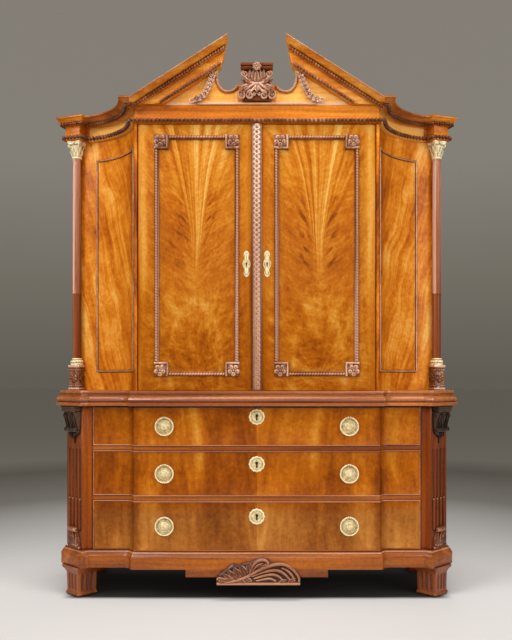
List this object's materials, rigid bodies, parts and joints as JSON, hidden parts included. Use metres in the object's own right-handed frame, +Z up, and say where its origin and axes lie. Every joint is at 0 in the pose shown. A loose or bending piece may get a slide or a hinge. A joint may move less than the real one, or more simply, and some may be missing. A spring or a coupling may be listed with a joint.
{
  "type": "linen press",
  "caption": "Tall linen press: hinged doors between scooped corners and columns under a broken pediment, over a breakfront chest of sliding drawers with ring pulls.",
  "frame": {"origin": "middle of the bounding box at the floor, under the feet", "axes": "+Z up, +X to the right of someone facing the doors, the doors and drawers face -Y"},
  "size_m": [1.896, 0.641, 2.4704],
  "materials": {
    "mahogany": "polished figured mahogany veneer",
    "dark_mahogany": "polished dark mahogany",
    "carved_dark": "dark stained carving",
    "oak": "plain oak, unpolished",
    "gilt_brass": "pale gilt brass, worn"
  },
  "bodies": {
    "case": {"waist_board": "mahogany", "chest_side_left": "mahogany", "chest_side_right": "mahogany", "chest_back": "oak", "chest_bottom": "oak", "drawer_divider_lower": "mahogany", "drawer_divider_upper": "mahogany", "corner_post_left": "dark_mahogany", "corner_post_right": "dark_mahogany", "console_left": "carved_dark", "console_right": "carved_dark", "plinth": "mahogany", "foot_front_left": "dark_mahogany", "foot_front_right": "dark_mahogany", "foot_back_left": "dark_mahogany", "foot_back_right": "dark_mahogany", "upper_side_left": "mahogany", "upper_side_right": "mahogany", "upper_back": "oak", "cove_panel_left": "mahogany", "cove_panel_right": "mahogany", "shelf_lower": "oak", "shelf_upper": "oak", "entablature": "mahogany", "pediment": "mahogany", "pediment_bracket": "carved_dark", "pedestal_left": "dark_mahogany", "pedestal_right": "dark_mahogany", "column_left": "dark_mahogany", "column_right": "dark_mahogany", "capital_left": "gilt_brass", "capital_right": "gilt_brass"},
    "left_door": {"door_left": "mahogany", "door_frame_left": "dark_mahogany", "door_escutcheon_left": "gilt_brass"},
    "right_door": {"door_right": "mahogany", "door_frame_right": "dark_mahogany", "astragal": "dark_mahogany", "door_escutcheon_right": "gilt_brass"},
    "lower_drawer": {"drawer_front_lower": "mahogany", "drawer_box_lower": "oak", "key_plate_lower": "gilt_brass", "pull_plate_lower_left": "gilt_brass", "pull_plate_lower_right": "gilt_brass"},
    "middle_drawer": {"drawer_front_middle": "mahogany", "drawer_box_middle": "oak", "key_plate_middle": "gilt_brass", "pull_plate_middle_left": "gilt_brass", "pull_plate_middle_right": "gilt_brass"},
    "upper_drawer": {"drawer_front_upper": "mahogany", "drawer_box_upper": "oak", "key_plate_upper": "gilt_brass", "pull_plate_upper_left": "gilt_brass", "pull_plate_upper_right": "gilt_brass"},
    "lower_left_ring": {"pull_ring_lower_left": "gilt_brass"},
    "lower_right_ring": {"pull_ring_lower_right": "gilt_brass"},
    "middle_left_ring": {"pull_ring_middle_left": "gilt_brass"},
    "middle_right_ring": {"pull_ring_middle_right": "gilt_brass"},
    "upper_left_ring": {"pull_ring_upper_left": "gilt_brass"},
    "upper_right_ring": {"pull_ring_upper_right": "gilt_brass"}
  },
  "joints": [
    {"name": "left_door_hinge", "type": "hinge", "parent": "case", "child": "left_door", "pos_m": [-0.515, -0.2475, 1.5], "axis": [0, 0, -1], "range_deg": [0, 95]},
    {"name": "right_door_hinge", "type": "hinge", "parent": "case", "child": "right_door", "pos_m": [0.515, -0.2475, 1.5], "axis": [0, 0, 1], "range_deg": [0, 95]},
    {"name": "lower_drawer_slide", "type": "slide", "parent": "case", "child": "lower_drawer", "axis": [0, -1, 0], "range_m": [0, 0.36]},
    {"name": "middle_drawer_slide", "type": "slide", "parent": "case", "child": "middle_drawer", "axis": [0, -1, 0], "range_m": [0, 0.36]},
    {"name": "upper_drawer_slide", "type": "slide", "parent": "case", "child": "upper_drawer", "axis": [0, -1, 0], "range_m": [0, 0.36]},
    {"name": "lower_left_ring_swing", "type": "hinge", "parent": "lower_drawer", "child": "lower_left_ring", "pos_m": [-0.406, -0.2853, 0.3609], "axis": [-1, 0, 0], "range_deg": [0, 90]},
    {"name": "lower_right_ring_swing", "type": "hinge", "parent": "lower_drawer", "child": "lower_right_ring", "pos_m": [0.406, -0.2853, 0.3609], "axis": [-1, 0, 0], "range_deg": [0, 90]},
    {"name": "middle_left_ring_swing", "type": "hinge", "parent": "middle_drawer", "child": "middle_left_ring", "pos_m": [-0.406, -0.2853, 0.5914], "axis": [-1, 0, 0], "range_deg": [0, 90]},
    {"name": "middle_right_ring_swing", "type": "hinge", "parent": "middle_drawer", "child": "middle_right_ring", "pos_m": [0.406, -0.2853, 0.5914], "axis": [-1, 0, 0], "range_deg": [0, 90]},
    {"name": "upper_left_ring_swing", "type": "hinge", "parent": "upper_drawer", "child": "upper_left_ring", "pos_m": [-0.406, -0.2853, 0.7994], "axis": [-1, 0, 0], "range_deg": [0, 90]},
    {"name": "upper_right_ring_swing", "type": "hinge", "parent": "upper_drawer", "child": "upper_right_ring", "pos_m": [0.406, -0.2853, 0.7994], "axis": [-1, 0, 0], "range_deg": [0, 90]}
  ]
}
